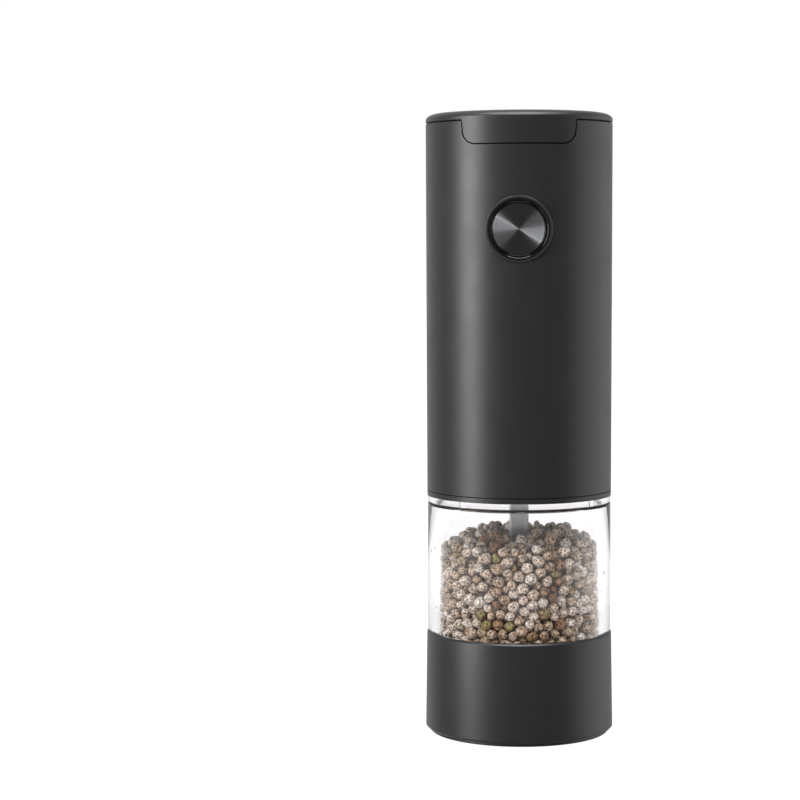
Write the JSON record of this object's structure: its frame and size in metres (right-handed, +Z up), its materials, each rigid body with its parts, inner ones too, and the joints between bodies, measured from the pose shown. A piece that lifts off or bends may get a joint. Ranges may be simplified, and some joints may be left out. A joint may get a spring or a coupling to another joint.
{
  "type": "electric pepper mill",
  "caption": "Tall round battery pepper mill: black motor head with a metal push button and a hinged top lid, clear jar of peppercorns, black grinder base.",
  "frame": {"origin": "centre of the ring the mill stands on, at table height", "axes": "+Z up along the mill's axis; the button and the lid's tab face -Y; the lid hinge is at +Y"},
  "size_m": [0.0546, 0.0546, 0.18],
  "materials": {
    "satin_black_abs": "satin moulded plastic with a very fine texture",
    "black_abs_inner": "matt moulded plastic",
    "gloss_black_abs": "polished moulded plastic",
    "clear_acrylic": "clear polished plastic",
    "black_silicone": "matt rubber",
    "spun_aluminium": "circular brushed with a bright cut edge",
    "drawn_bar_steel": "drawn bar",
    "zinc_plated_steel": "bright zinc plate",
    "spring_steel": "drawn wire",
    "sintered_bronze": "matt sintered",
    "white_ceramic": "matt fired ceramic",
    "acetal_natural": "satin moulded plastic",
    "black_nylon": "matt glass-filled plastic",
    "peppercorn": "dry wrinkled husk",
    "circuit_board": "solder mask",
    "cell_sleeve": "printed plastic sleeve on a metal can",
    "nickel_plate": "nickel plate",
    "ferrite": "matt sintered",
    "red_pvc": "extruded insulation",
    "copper_winding": "enamelled copper over steel core"
  },
  "bodies": {
    "base": {"base_shell": "satin_black_abs", "foot_ring": "black_silicone", "burr_housing": "black_abs_inner", "feed_bell": "black_nylon", "hub_bush": "nickel_plate", "outer_burr": "white_ceramic", "bottom_spider": "black_nylon", "spider_screws": "zinc_plated_steel", "jar": "clear_acrylic", "mouth_gasket": "black_silicone", "pepper_fill": "peppercorn", "burr_spring": "spring_steel"},
    "knob": {"adjust_knob": "black_abs_inner"},
    "lifter": {"lift_cup": "acetal_natural"},
    "burr": {"burr_stem": "black_nylon", "inner_burr": "white_ceramic", "stem_screw": "zinc_plated_steel", "spring_seat": "nickel_plate"},
    "head": {"socket_collar": "satin_black_abs", "lock_ring": "clear_acrylic", "shaft_seal": "black_silicone", "body_shell": "satin_black_abs", "hinge_pin": "drawn_bar_steel", "battery_cells": "cell_sleeve", "battery_holder": "black_abs_inner", "battery_contacts": "nickel_plate", "button_bezel": "gloss_black_abs", "switch_board": "circuit_board", "board_screws": "zinc_plated_steel", "switch_body": "black_nylon", "gearbox_case": "black_nylon", "output_bush": "sintered_bronze", "gearbox_lid": "black_nylon", "gearbox_screws": "zinc_plated_steel", "motor_can": "nickel_plate", "motor_magnets": "ferrite", "motor_end_cap": "black_nylon", "motor_screws": "zinc_plated_steel", "chassis": "black_nylon", "chassis_screws": "zinc_plated_steel", "collar_screws": "zinc_plated_steel", "wires": "red_pvc", "button_spring": "spring_steel"},
    "battery_lid": {"lid": "satin_black_abs", "lid_contacts": "nickel_plate"},
    "button": {"button_cap": "gloss_black_abs", "button_disc": "spun_aluminium"},
    "plunger": {"switch_plunger": "acetal_natural"},
    "drive": {"output_carrier": "acetal_natural", "drive_shaft": "drawn_bar_steel"},
    "stage": {"stage_carrier": "acetal_natural"},
    "motor_rotor": {"motor_pinion": "sintered_bronze", "motor_shaft": "drawn_bar_steel", "motor_armature": "copper_winding"},
    "low_planet_1": {"low_planet_1": "acetal_natural"},
    "high_planet_1": {"high_planet_1": "acetal_natural"},
    "low_planet_2": {"low_planet_2": "acetal_natural"},
    "high_planet_2": {"high_planet_2": "acetal_natural"},
    "low_planet_3": {"low_planet_3": "acetal_natural"},
    "high_planet_3": {"high_planet_3": "acetal_natural"}
  },
  "joints": [
    {"name": "adjust_turn", "type": "hinge", "parent": "base", "child": "knob", "pos_m": [0, 0, 0.002], "axis": [0, 0, 1], "range_deg": [0, 300]},
    {"name": "burr_gap", "type": "slide", "parent": "base", "child": "lifter", "axis": [0, 0, 1], "range_m": [-0.000833, 0], "deforming": ["burr_spring"]},
    {"name": "burr_spin", "type": "hinge", "parent": "lifter", "child": "burr", "pos_m": [0, 0, 0.02], "axis": [0, 0, 1], "continuous": true},
    {"name": "head_lift", "type": "slide", "parent": "base", "child": "head", "axis": [0, 0, 1], "range_m": [0, 0.055]},
    {"name": "lid_hinge", "type": "hinge", "parent": "head", "child": "battery_lid", "pos_m": [0, 0.026, 0.176], "axis": [-1, 0, 0], "range_deg": [0, 100]},
    {"name": "button_press", "type": "slide", "parent": "head", "child": "button", "axis": [0, 1, 0], "range_m": [0, 0.001], "stiffness_N_per_m": 600, "springref_m": -0.001, "deforming": ["button_spring"]},
    {"name": "switch_press", "type": "slide", "parent": "head", "child": "plunger", "axis": [0, 1, 0], "range_m": [0, 0.0003]},
    {"name": "drive_spin", "type": "hinge", "parent": "head", "child": "drive", "pos_m": [0, 0, 0.075], "axis": [0, 0, 1], "continuous": true},
    {"name": "stage_spin", "type": "hinge", "parent": "head", "child": "stage", "pos_m": [0, 0, 0.08], "axis": [0, 0, 1], "continuous": true},
    {"name": "motor_spin", "type": "hinge", "parent": "head", "child": "motor_rotor", "pos_m": [0, 0, 0.1], "axis": [0, 0, 1], "continuous": true},
    {"name": "low_planet_1_spin", "type": "hinge", "parent": "drive", "child": "low_planet_1", "pos_m": [0.009, 0, 0.079], "axis": [0, 0, 1], "continuous": true},
    {"name": "high_planet_1_spin", "type": "hinge", "parent": "stage", "child": "high_planet_1", "pos_m": [0.009, 0, 0.0847], "axis": [0, 0, 1], "continuous": true},
    {"name": "low_planet_2_spin", "type": "hinge", "parent": "drive", "child": "low_planet_2", "pos_m": [-0.0045, 0.00779, 0.079], "axis": [0, 0, 1], "continuous": true},
    {"name": "high_planet_2_spin", "type": "hinge", "parent": "stage", "child": "high_planet_2", "pos_m": [-0.0045, 0.00779, 0.0847], "axis": [0, 0, 1], "continuous": true},
    {"name": "low_planet_3_spin", "type": "hinge", "parent": "drive", "child": "low_planet_3", "pos_m": [-0.0045, -0.00779, 0.079], "axis": [0, 0, 1], "continuous": true},
    {"name": "high_planet_3_spin", "type": "hinge", "parent": "stage", "child": "high_planet_3", "pos_m": [-0.0045, -0.00779, 0.0847], "axis": [0, 0, 1], "continuous": true}
  ],
  "couplings": [
    {"joint": "adjust_turn", "follows": "burr_gap", "rad_per_m": -6283.2},
    {"joint": "burr_spin", "follows": "drive_spin", "ratio": 1},
    {"joint": "switch_press", "follows": "button_press", "ratio": 0.3},
    {"joint": "stage_spin", "follows": "drive_spin", "ratio": 5},
    {"joint": "motor_spin", "follows": "drive_spin", "ratio": 25},
    {"joint": "low_planet_1_spin", "follows": "drive_spin", "ratio": -2.6667},
    {"joint": "high_planet_1_spin", "follows": "drive_spin", "ratio": -13.333},
    {"joint": "low_planet_2_spin", "follows": "drive_spin", "ratio": -2.6667},
    {"joint": "high_planet_2_spin", "follows": "drive_spin", "ratio": -13.333},
    {"joint": "low_planet_3_spin", "follows": "drive_spin", "ratio": -2.6667},
    {"joint": "high_planet_3_spin", "follows": "drive_spin", "ratio": -13.333}
  ]
}
